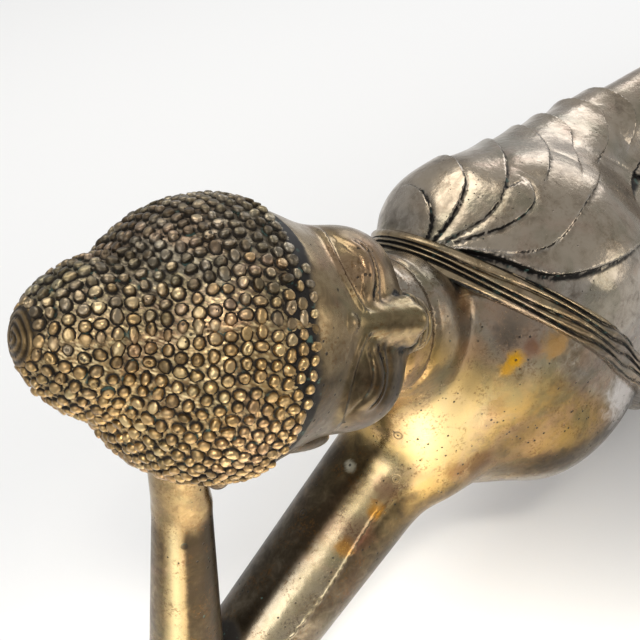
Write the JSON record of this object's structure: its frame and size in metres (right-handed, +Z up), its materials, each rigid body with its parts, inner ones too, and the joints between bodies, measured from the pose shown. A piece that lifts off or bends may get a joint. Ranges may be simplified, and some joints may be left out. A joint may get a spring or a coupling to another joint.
{
  "type": "reclining buddha figure",
  "caption": "Cast brass reclining Buddha lying on its right side with its head propped on its hand, in a pleated robe.",
  "frame": {"origin": "centre of the bounding box's bottom face, on the ground that the elbow, hip and legs rest on", "axes": "+X from the head to the feet, -Y the front that the chest and face look towards, +Z up"},
  "size_m": [1.3926, 0.237, 0.4701],
  "materials": {
    "aged_brass": "cast brass, filed and polished by hand, with silvery wear on the robe, warm gold on the skin and dark patina with a little green in the recesses"
  },
  "bodies": {
    "root": {"figure": "aged_brass"}
  },
  "joints": []
}
